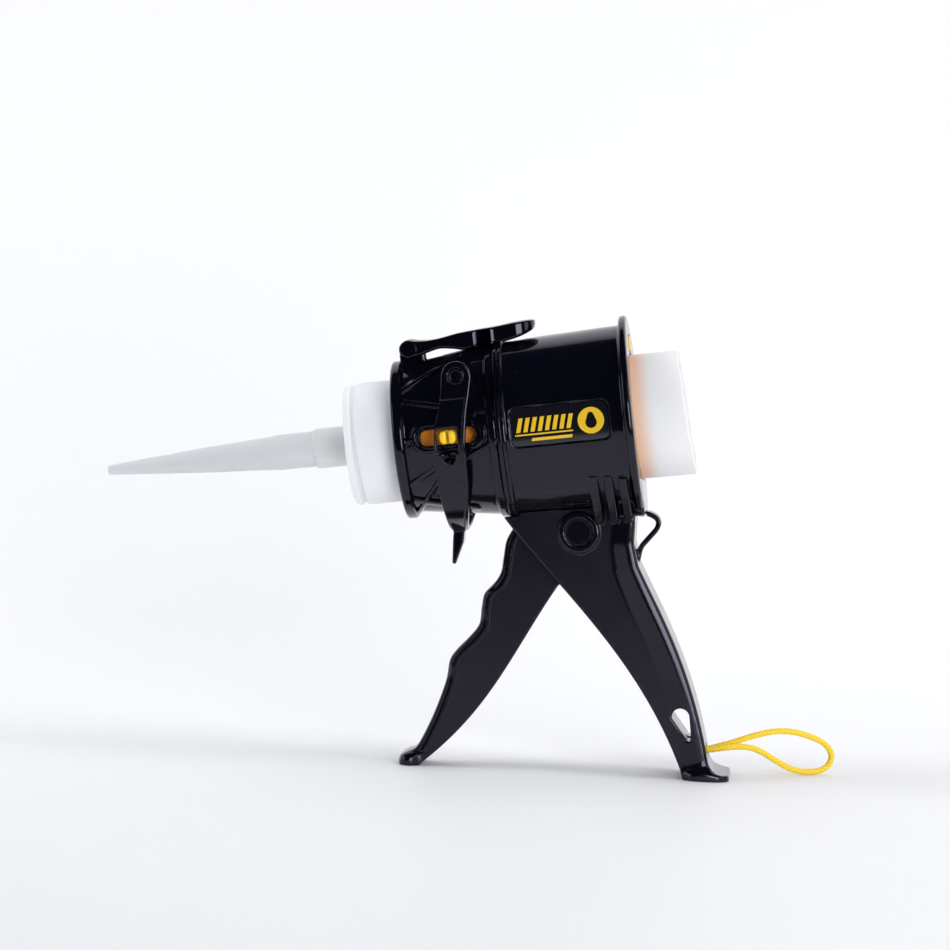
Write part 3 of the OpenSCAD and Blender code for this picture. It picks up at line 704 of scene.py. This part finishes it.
def nose(p):
    u, y, v = p.T
    side, r = np.abs(y), np.hypot(y, v)
    d = meet(r - nose_radius(u) + 1.1, slab(u, 2, 43), 0.3)
    ribs = rounded(u, v, 7.2, 37.8, -5, 7.4, 6)
    for a, b, w in NOSE_RIBS:
        ribs = np.minimum(ribs, stroke(u, v, [a, b], w))
    ribs = np.minimum(ribs, np.maximum(rounded(u, y, 3, 43, -9, 9, 2), 20 - v))
    d = join(d, meet(meet(ribs, r - nose_radius(u), 0.7), slab(u, 4, 42.6), 0.3), 0.6)
    d = join(d, rounded(u, r, 0, 4.4, 0, 32.4, 1.3), 0.8)
    d = join(d, rounded(u, r, 42.5, 44.25, 0, BEAD_R, 0.3), 0.6)
    d = join(d, rounded(u, r, 40, 50, 0, 32.9, 0.3))
    d = join(d, meet(disc(u, v, BAIL_AT, 5.6), side - 36.3, 0.5), 0.7)
    ear = polygon(u, v, [(3.9, 29), (13.6, 29), (13.6, 35), (8.6, 39.8), (4.6, 36.8), (3.9, 35)])
    ears = meet(np.minimum(disc(u, v, LEVER_AT, 3.2), ear), slab(side, 4.7, 7.1), 0.6)
    cone_bore = meet(r - 28.6 - 2.8 * (u - 4.2) / 32.8, slab(u, 3.6, 37), 0.3)
    bore = np.minimum(np.minimum(r - 25.7, cone_bore), np.minimum(meet(r - 28.4, 30 - u), meet(r - 31.6, 39.2 - u)))
    d = cut(d, bore, 0.4)
    d = join(d, meet(ears, 27.5 - v), 0.7)
    d = cut(d, np.maximum(rounded(u, y, 3.7, 21, -4.6, 4.6, 0.9), 20 - v), 0.4)
    slot = np.maximum(stroke(u, v, [(13.9, 1), (30.8, 1)], 6.4), 15 - side)
    d = cut(d, np.maximum(slot - 1.6, nose_radius(u) - 1.5 - r), 0.4)
    d = cut(d, slot, 0.4)
    d = cut(d, disc(u, v, BAIL_AT, BAIL_BORE), 0.3)
    return cut(d, np.maximum(disc(u, v, LEVER_AT, LEVER_BORE), side - 7.3), 0.2)


solid("barrel_shell", barrel, (43, -43, -43), (98.5, 43, 43), 0.62, "root", shell_paint, ["barrel"])
solid("nose_shell", nose, (-1, -38, -38), (51, 38, 42), 0.55, "root", shell_paint, ["nose_ring"])

# ---------- label ----------


def on_barrel(u, v, lift, side):
    """Points on the barrel's skin, lift mm outside its recess floor."""
    r = barrel_radius(u) - LABEL_DEPTH + lift
    return np.stack([u, side * np.sqrt(r * r - v * v), v], -1)


def skin_normals(u, v, side):
    r = barrel_radius(u)
    n = np.stack([np.full(u.shape, -BARREL_GROWS / BARREL_RUN), side * np.sqrt(r * r - v * v) / r, v / r], -1)
    return n / np.linalg.norm(n, axis=-1, keepdims=True)


def patch(name, shapes, lift, paint, stands_for=()):
    """Curved patches on both sides of the barrel. Each shape is a (rows, cols, 2) grid of [u, v]."""
    points, faces, normals = [], [], []
    for shape in shapes:
        for side in (-1, 1):
            start = sum(len(q) for q in points)
            rows, cols = shape.shape[:2]
            u, v = shape[..., 0].ravel(), shape[..., 1].ravel()
            points.append(on_barrel(u, v, lift, side))
            normals.append(skin_normals(u, v, side))
            quads = grid_faces(rows, cols, False, False)
            p = points[-1]
            facing = np.cross(p[quads[0][2]] - p[quads[0][0]], p[quads[0][3]] - p[quads[0][1]])[1] * side
            faces += ((quads if facing > 0 else quads[:, ::-1]) + start).tolist()
    return piece(name, to_row(np.concatenate(points)), faces, "root", paint, stands_for,
                 np.concatenate(normals) @ TURN)


def bar(corners, n=10):
    """Grid over a four-cornered shape."""
    a, b, c, d = [np.array(q, float) for q in corners]
    s, t = np.meshgrid(np.linspace(0, 1, n), np.linspace(0, 1, n), indexing="ij")
    s, t = s[..., None], t[..., None]
    return (1 - t) * ((1 - s) * a + s * b) + t * ((1 - s) * d + s * c)


def polar(at, shape, n=64, rings=8):
    """Grid over a shape given by its radius at each angle from its middle."""
    a = np.linspace(0, 2 * math.pi, n + 1)
    t = np.linspace(1, 0.02, rings)[:, None]
    return np.stack([at[0] + t * shape(a) * np.cos(a), at[1] + t * shape(a) * np.sin(a)], -1)


def label_outline(a):
    """Radius of the label's rounded outline at each angle from its middle."""
    out = []
    for q in a:
        c, s = abs(math.cos(q)), abs(math.sin(q))
        low, high = 0.0, 40.0
        for _ in range(40):
            mid = (low + high) / 2
            if rounded(np.array([c * mid]), np.array([s * mid]), -19.55, 19.55, -7.55, 7.55, 2.6)[0] < 0:
                low = mid
            else:
                high = mid
        out.append(low)
    return np.array(out)


patch("label_film", [polar((68, 1.75), label_outline, 160, 24)], 0.3, film_paint, ["side_labels"])
slant, bar_w, bar_pitch = 1.5, 1.7, 2.9
graphics = [bar([(x, -0.3), (x + bar_w, -0.3), (x + bar_w + slant, 5.4), (x + slant, 5.4)])
            for x in 50.2 + bar_pitch * np.arange(8)]
graphics += [bar([(49.6, -1.7), (73.0, -1.7), (73.2, -1.1), (49.8, -1.1)], 16),
             bar([(56.0, -4.1), (72.4, -4.1), (72.8, -2.9), (56.4, -2.9)], 12),
             polar((80.6, 1.9), lambda a: np.full(a.shape, 5.3))]
patch("label_print", graphics, 0.34, print_paint)
patch("label_icon", [polar((80.6, 1.1), lambda a: 2.3 + 1.9 * np.clip(np.sin(a), 0, 1) ** 7)], 0.38, film_paint)

# ---------- handle ----------

FRONT = Edge(bezier([38.6, -33], [58, -66], [88, -96], [100.5, -145]).tolist() + [[30.5, -20], [104, -160]])
BACK = Edge([[93.4, -20], [93.4, -30], [93.4, -37], [92.6, -44], [91.4, -51]]
            + bezier([92.3, -60], [97, -75], [109, -100], [111.8, -138]).tolist() + [[113.2, -160]])
HOOK = through([(94, -39.3), (98.6, -40.4), (101.6, -43), (101, -46.3), (97, -50.2), (93.6, -53.6), (92, -58)], 6)


def spine_depth(v):
    """How wide the rounded spine is, seen from the side."""
    return np.interp(v, [-140, -120, -78, -60, -40], [8.4, 9.2, 9.6, 8.4, 7.2])


def handle(p):
    u, y, v = p.T
    side = np.abs(y)
    x, _, z = over_floor(p)
    front, back = FRONT(u, v), BACK(u, v)
    depth = spine_depth(v)
    web = meet(meet(meet(-front, back + 3, 0.4), side - 13.5, 0.8), v + 24)
    # spine with a crowned side, highest about halfway across
    off = back + 0.42 * depth
    front_ramp = 1.6 * (np.clip(-off, 0, None) / (0.58 * depth)) ** 1.3
    crown = (side - 15.1 + np.where(off > 0, 0.05 * off * off, front_ramp)) / np.hypot(1, 0.1 * np.abs(off))
    spine = meet(meet(meet(crown, np.maximum(back, -back - depth), 1.6), -front, 0.6), v + 24)
    d = join(web, spine, 1.4)
    toe = rounded(x, y, 112.4, 130.6, -16.5, 16.5, 5)
    toe = meet(toe, z - 2.6, 1.4)
    share = np.clip((x - 110) / 8, 0, 1)
    d = (1 - share) * join(d, toe, 2.5) + share * join(d, toe, 6)
    d = join(d, meet(disc(u, v, TRIGGER_AT, 8.4), side - 14.7, 0.9), 0.6)
    d = cut(d, np.maximum(disc(u, v, TRIGGER_AT, 5.8), 13.5 - side), 0.4)
    gusset = polygon(side, v, [(31, -20.6), (29, -30), (16.5, -41.4), (10, -41.4), (10, -20)])
    for x0 in (76.8, 82.8, 88.6):
        d = join(d, meet(gusset, slab(u, x0, x0 + 3.6), 0.8), 0.4)
    d = join(d, meet(stroke(u, v, HOOK, 2.1), side - 4.5, 0.5), 0.7)
    r = np.hypot(y, v)
    saddle = np.minimum(r - barrel_radius(u) - 0.05, np.maximum(r - 37.25, u - 46.2))
    saddle = np.minimum(np.maximum(saddle, u - 97.3), np.maximum(r - 41.4, slab(u, 93.7, 97.3)))
    d = cut(d, saddle)
    d = cut(d, np.maximum(slab(u, 86.45, 97.25), np.maximum(side - 18.05, -39.65 - v)))
    channel = polygon(u, v, [(20, -20), (84, -20), (84, -58), (88, -72), (94.5, -90), (98, -106), (96, -112),
                             (60, -112), (20, -60)])
    d = cut(d, np.maximum(channel, side - 9.8), 0.6)
    drop = np.clip(-(v + 123.3) / 9.0, 0, 1)
    tear = np.hypot(u - 102.9 - 2.3 * drop, v + 123.3 + 9.0 * drop) - 3.6 + 2.5 * drop
    d = cut(d, tear, 0.9)
    d = cut(d, np.maximum(np.hypot(y, z - 11.2) - 3.1, 100 - x), 0.6)
    d = cut(d, np.maximum(np.hypot(y, z - 11.2) - 5.2, x - 116.1), 0.4)
    return meet(d, -z, 0.5)


def handle_web(p):
    """1 on the etched flat sides."""
    u, y, v = p.T
    flat = np.clip((13.6 - np.abs(np.abs(y) - 13.5) * 40) / 13.6, 0, 1)
    return flat * np.clip(-(BACK(u, v) + spine_depth(v) + 1.6), 0, 1)


solid("handle_body", handle, (26, -32, -166), (124, 32, -19), 0.7, "root", grip_paint, ["handle"],
      {"web": handle_web})

# ---------- trigger ----------

TRIGGER_FRONT = Edge(through([
    [43, -39.6], [39.2, -45], [37.2, -52], [35.4, -58], [31.8, -62.4], [28, -65.6], [26.2, -71], [24.4, -78],
    [19.6, -83], [14, -87.6], [10.8, -91.6], [8.3, -99.8], [2, -112.5], [-5, -123.6], [-9, -127.4],
    [-12.4, -128.8], [-14, -131]], 12))
TRIGGER_BACK = Edge(bezier([-5.6, -132.7], [26, -113], [36, -92], [58, -66]).tolist() + [[73, -52], [76, -46]])


def trigger(p):
    u, y, v = p.T
    side = np.abs(y)
    z = over_floor(p)[2]
    front, back = TRIGGER_FRONT(u, v), TRIGGER_BACK(u, v)
    plate = meet(meet(-front, back, 0.5), slab(v, -133, -39), 0.5)
    band = meet(meet(plate, front - 3.6, 0.4), side - 9.3, 0.4)
    nosed = meet(band, np.hypot(np.maximum(4.2 - front, 0), np.maximum(side - 5.1, 0)) - 4.2, 0.3)
    web = meet(plate, side - 8.5, 0.7)
    d = join(nosed, meet(web, 1.5 - front, 0.5), 0.4)
    d = join(d, meet(disc(u, v, TRIGGER_AT, 6.9), side - 9.3, 0.4), 0.3)
    arm = np.minimum(stroke(u, v, [TRIGGER_AT, DRIVE_AT], 7.2), disc(u, v, DRIVE_AT, 3.6))
    d = join(d, meet(arm, side - 5, 0.5), 0.4)
    tip = np.hypot(np.hypot(u + 10.4, v + 130.8), np.maximum(side - 7.9, 0)) - 3.1
    d = join(d, tip, 3.5)
    d = cut(d, disc(u, v, TRIGGER_AT, BUSH_BORE), 0.3)
    d = cut(d, disc(u, v, DRIVE_AT, DRIVE_BORE), 0.2)
    return meet(d, -z, 0.3)


def trigger_web(p):
    return np.clip((TRIGGER_FRONT(p[:, 0], p[:, 2]) - 3.4) * 2, 0, 1)


solid("trigger_body", trigger, (-16, -12.5, -136), (79, 12.5, -25), 0.55, "trigger", grip_paint,
      ["trigger"], {"web": trigger_web})

# ---------- bail ----------

BAIL_FRONT = Edge(through([[27, 31.4], [24, 29.6], [22.8, 25], [22, 20], [20.2, 12], [18.2, 6], [16.9, -2], [16.4, -16],
                           [17, -30], [18, -44]], 8))
BAIL_REAR = Edge(through([[22.6, -44], [26, -34], [28.2, -24], [29, -16], [29.8, -2], [31.6, 10], [33.6, 18],
                          [34.8, 25], [33.4, 29.6], [30.6, 31.4]], 8))


def bail(p):
    u, y, v = p.T
    side = np.abs(y)
    reach = np.where(v > 0, side, np.hypot(y, v))
    inner = np.where(v > -0.8, side, np.hypot(y, v + 0.8))
    outline = np.maximum(-BAIL_FRONT(u, v), BAIL_REAR(u, v))
    outline = join(np.maximum(outline, v - 25), disc(u, v, BAIL_AT, 6), 0.5)
    outline = np.maximum(outline, -v - 39.8)
    d = meet(outline, np.maximum(reach - BAIL_OUT, BAIL_IN - inner), 0.9)
    inset = np.maximum(np.maximum(-BAIL_FRONT(u, v), BAIL_REAR(u, v) + 1.5), slab(v, -60, 16))
    d = cut(d, np.maximum(inset, 39.2 - reach), 0.3)
    tail = polygon(u, v, [(18.6, -36.8), (17.4, -42), (16, -52.4), (17.4, -52.6), (21.6, -44), (23, -36.8)])
    d = join(d, cut(meet(tail, side - 4.5, 0.8), np.hypot(y, v) - BAIL_IN), 0.8)
    d = cut(d, disc(u, v, BAIL_AT, BAIL_BORE), 0.3)
    d = cut(d, np.maximum(rounded(u, v, 17.9, 26.9, -10.8, 4.8, 0.5), 38.8 - side), 0.4)
    opening = join(rounded(u, v, 18.4, 26.5, -5.5, 4.4, 1.2), disc(u, v, (22.8, -7.4), 2.4), 1.2)
    return cut(d, np.maximum(opening, 20 - side), 0.4)


solid("bail_strip", bail, (13, -41, -54), (37, 41, 33), 0.5, "bail", shell_paint, ["bail"])

# ---------- clamp lever ----------


def lever_curve(points):
    return Edge([(z, x) for x, z in through(points, 10)])


LEVER_TOP = lever_curve([[4, 40.8], [7.6, 40.4], [12, 39.8], [16, 39.7], [21, 40.1], [28, 41.3], [35.6, 42], [45, 42.6],
                         [52.5, 43.6], [58.4, 43.8], [64, 43.7]])
LEVER_LOW = lever_curve([[64, 41.6], [60.2, 40.6], [59, 39.6], [55, 37.8], [50, 36.5], [43, 35.2], [37, 34.9],
                         [33, 34.4], [30, 34.3], [27, 35.0], [21, 35.8], [16, 34.8], [11.6, 33.6], [7.6, 33.2],
                         [4, 33]])


def lever(p):
    u, y, v = p.T
    side, r = np.abs(y), np.hypot(y, v)
    plan = join(rounded(u, y, 6.6, 42, -9.4, 9.4, 1), rounded(u, y, 28, 60, -10.2, 10.2, 8.6), 3)
    thick = meet(LEVER_TOP(v, u), -LEVER_LOW(v, u), 0.6)
    d = meet(meet(plan, thick, 1.3), r - 44.4, 0.8)
    dish = np.sqrt((u - 46) ** 2 / 3.6 + y * y + (v - 58.4) ** 2) - 16
    d = cut(d, dish, 1.2)
    d = join(d, meet(disc(u, v, LEVER_AT, 3.6), side - 9.4, 1.2), 0.8)
    d = cut(d, np.maximum(slab(side, 4.4, 7.4), u - 14.8), 0.3)
    jaw = polygon(u, v, [(5.6, 36.8), (8, 26), (8.6, 25.4), (11.2, 25.4), (11.6, 27.6), (11, 35.8)])
    d = join(d, meet(jaw, side - 3.5, 0.5), 0.6)
    under = np.where(u < 42, nose_radius(u), barrel_radius(u)) + 0.4
    below = np.minimum(r - under, np.maximum(r - 37.6, slab(u, 41.6, 46.6)))
    d = cut(d, np.maximum(below, 30 - u), 0.3)
    d = cut(d, np.maximum(disc(u, v, LEVER_AT, LEVER_BORE), side - 8.8), 0.2)
    return cut(d, np.maximum(np.maximum(side - 0.7, disc(u, v, LEVER_AT, 5)), -disc(u, v, LEVER_AT, 2.9)))


solid("clamp_lever_body", lever, (2, -10.5, 24), (63, 10.5, 45), 0.42, "clamp", shell_paint,
      ["clamp_lever"])

# ---------- carriage ----------


def carriage(p):
    u, y, v = p.T
    side, r = np.abs(y), np.hypot(y, v)
    d = rounded(u, r, 10.7, 94.2, 0, 27.8, 0.4)
    d = join(d, rounded(u, r, 62, 64.2, 0, 32.6, 0.5), 0.6)
    d = join(d, meet(rounded(y, v, -3.3, 3.3, 26.6, 32.4, 0.8), slab(u, 90, 97.8), 0.4), 0.4)
    crown = 39.7 - 0.4 * ((np.abs(u - LUG_AT[0]) - 1.9) / 1.4) ** 2 - 0.3 * ((v - LUG_AT[1]) / 2.7) ** 2
    d = join(d, meet(rounded(u, v, 19.5, 26.1, -1.7, 3.7, 1.9), slab(side, 26, 39.7) + 39.7 - crown, 1.2), 0.4)
    fork = meet(slab(u, DRIVE_AT[0] - 4.5, DRIVE_AT[0] + 4.5), slab(v, -33.4, -25.8), 0.5)
    d = join(d, meet(fork, slab(side, 5.8, 8.8), 0.4), 0.4)
    d = join(d, meet(meet(slab(u, 80, 86.4), slab(y, -1.2, 1.2), 0.3), slab(v, 26.8, 35.4), 0.3), 0.3)
    d = cut(d, r - 25.6, 0.3)
    d = cut(d, np.maximum(slab(u, 22.3, 23.3), 36.6 - side), 0.5)
    d = cut(d, np.maximum(rounded(u, v, DRIVE_AT[0] - 2.2, DRIVE_AT[0] + 2.2, -36, -27.6, 0.4), slab(side, 5, 10)), 0.2)
    d = cut(d, np.maximum(np.maximum(slab(u, DRIVE_AT[0] - 5, DRIVE_AT[0] + 5), side - 5.6), slab(v, -30, -20)), 0.3)
    d = cut(d, np.maximum(np.maximum(slab(u, 10, 29), side - 5.2), slab(v, 20, 30)), 0.4)
    d = cut(d, np.maximum(np.maximum(slab(u, 49.5, 60), side - 0.5), np.abs(v) - 29))
    return cut(d, np.maximum(rounded(u, v, 83.4, 92.2, -4.6, 4.6, 0.6), 10 - side), 0.3)


# 1 on the lug's outer face and 0.85 at the rear end, where the carriage shows in the light; elsewhere it takes the
# painted orange shade
def lug_share(p):
    return np.clip(np.abs(p[:, 1]) - 33, 0, 1) * (p[:, 0] < 40) + 0.85 * (p[:, 0] > 94.6)


solid("carriage_body", carriage, (9, -41, -37), (99, 41, 37), 0.68, "carriage", yellow_paint, ["carriage"],
      {"lug": lug_share})

# ---------- cartridge ----------


def cut_tail(points):
    """The tube's rear end, cut by hand: a little askew, with an uneven rim, and opened out below."""
    g = (points * 1000 - NOSE) @ TURN.T
    share = np.clip((g[:, 0] - TUBE_END + 21.2) / 21.2, 0, 1)
    around = np.arctan2(g[:, 1], g[:, 2])
    uneven = 0.14 * np.sin(5 * around + 1) + 0.1 * np.sin(11 * around) + 0.07 * np.sin(23 * around + 2)
    g[:, 0] += share ** 3 * (uneven - 1.4 * g[:, 2] / TUBE_R)
    g[:, 2] -= 1.0 * share * np.clip(-g[:, 2] / TUBE_R, 0, 1)
    return to_row(g)


tube_points, tube_faces, tube_normals = lathe([
    (-20.5, 3, 0.1), (-20.5, 24.2, 0.9), (-18.3, 24.9, 0.3), (-17.6, 24.0, 0.3), (-16.2, 24.0, 0.3),
    (-15.2, 24.95, 0.5), (-12, TUBE_R, 1.0), (TUBE_END, TUBE_R, 0.3), (TUBE_END, TUBE_R - 1.4, 0.3),
    (-18.2, TUBE_R - 1.4, 0.5), (-18.2, 3, 0.1)], sides=160)
piece("cartridge_shell", cut_tail(tube_points), tube_faces, "cartridge", tube_paint, ["cartridge_tube"],
      tube_normals)
turned("nozzle_shell", [
    (-20.7, 3.2, 0.1), (-20.7, 8.2, 0.3), (-34.8, 8.2, 0.5), (-35.6, 7.3, 0.3), (-51, 7.3, 0.6), (-52.2, 6.95, 0.4),
    (-84, 5, 4.0), (-121.2, 2.0, 0.3), (-122, 1.7, 0.3), (-122, 1.1, 0.1), (-120, 1.1, 0.1), (-84, 4, 1.0),
    (-52, 6, 1.0), (-36, 6, 0.3), (-34, 3.2, 0.2)],
    "cartridge", "clear_nozzle", nozzle_paint, ["cartridge_nozzle"], sides=72)

# ---------- small parts ----------

for side, name in ((-1, "bail_pin_right"), (1, "bail_pin_left")):
    corners = [(0, 0.3, 0.01), (0, 3.3, 0.3), (12.4, 3.3, 0.5), (12.4, 2.5, 0.2), (12.0, 2.3, 0.2), (12.0, 0.3, 0.01)]
    corners = [(side * (27.4 + x), r, q) for x, r, q in corners]
    turned(name, corners, "root", "black_shell", shell_paint,
           ["bail_pins"] if side > 0 else (), at=(BAIL_AT[0], 0, BAIL_AT[1]), axis="y", sides=48, capped=True)


def soften(name, paint, width):
    """A carried-over CAD node: fine bevels and its own paint."""
    obj = nodes[name]
    obj.data.materials.clear()
    obj.data.materials.append(paint)
    bevel = obj.modifiers.new("bevel", "BEVEL")
    bevel.width, bevel.segments, bevel.limit_method, bevel.angle_limit = width, 3, "ANGLE", math.radians(40)


for name, paint, slot, width in (
        ("handle_screws", steel_paint, "steel", 0.0001), ("trigger_pin", grip_paint, "black_grip", 0.0003),
        ("pin_cap", grip_paint, "black_grip", 0.0003), ("lever_pin", steel_paint, "steel", 0.0002),
        ("strap_knot", braid_paint, "cord", 0.0012), ("pivot_bush", bronze_paint, "bronze", 0.0002),
        ("drive_pin", steel_paint, "steel", 0.0002), ("piston", zinc_paint, "zinc", 0.0002),
        ("cutter_blades", steel_paint, "steel", 0.0001), ("blade_screws", steel_paint, "steel", 0.0001),
        ("grip_pawls", steel_paint, "steel", 0.0001), ("lever_spring", spring_paint, "spring_steel", 0.0001),
        ("cartridge_plunger", tube_paint, "white_tube", 0.0003)):
    soften(name, paint, width)


def coil_spring():
    turns, r, wire, x0, x1 = 5, 30.1, 0.9, 39.6, 61.6
    t = np.linspace(0, 1, 480)
    # closed end turns, open ones between
    along = x0 + wire + (x1 - x0 - 2 * wire) * np.interp(t, [0, 0.16, 0.84, 1], [0, 0.03, 0.97, 1])
    path = np.stack([along, r * np.sin(turns * 2 * math.pi * t), r * np.cos(turns * 2 * math.pi * t)], 1)
    sides = 16
    around = sweep(path, sides, up=(1, 0, 0))
    points = (path[:, None] + around * wire).reshape(-1, 3)
    faces = grid_faces(len(t), sides)[:, ::-1].tolist()
    faces += [list(range(sides)), list(range(len(t) * sides - 1, (len(t) - 1) * sides - 1, -1))]
    obj = piece("return_coil", to_row(points), faces, "root", spring_paint, ["return_spring"])
    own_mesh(obj)


coil_spring()
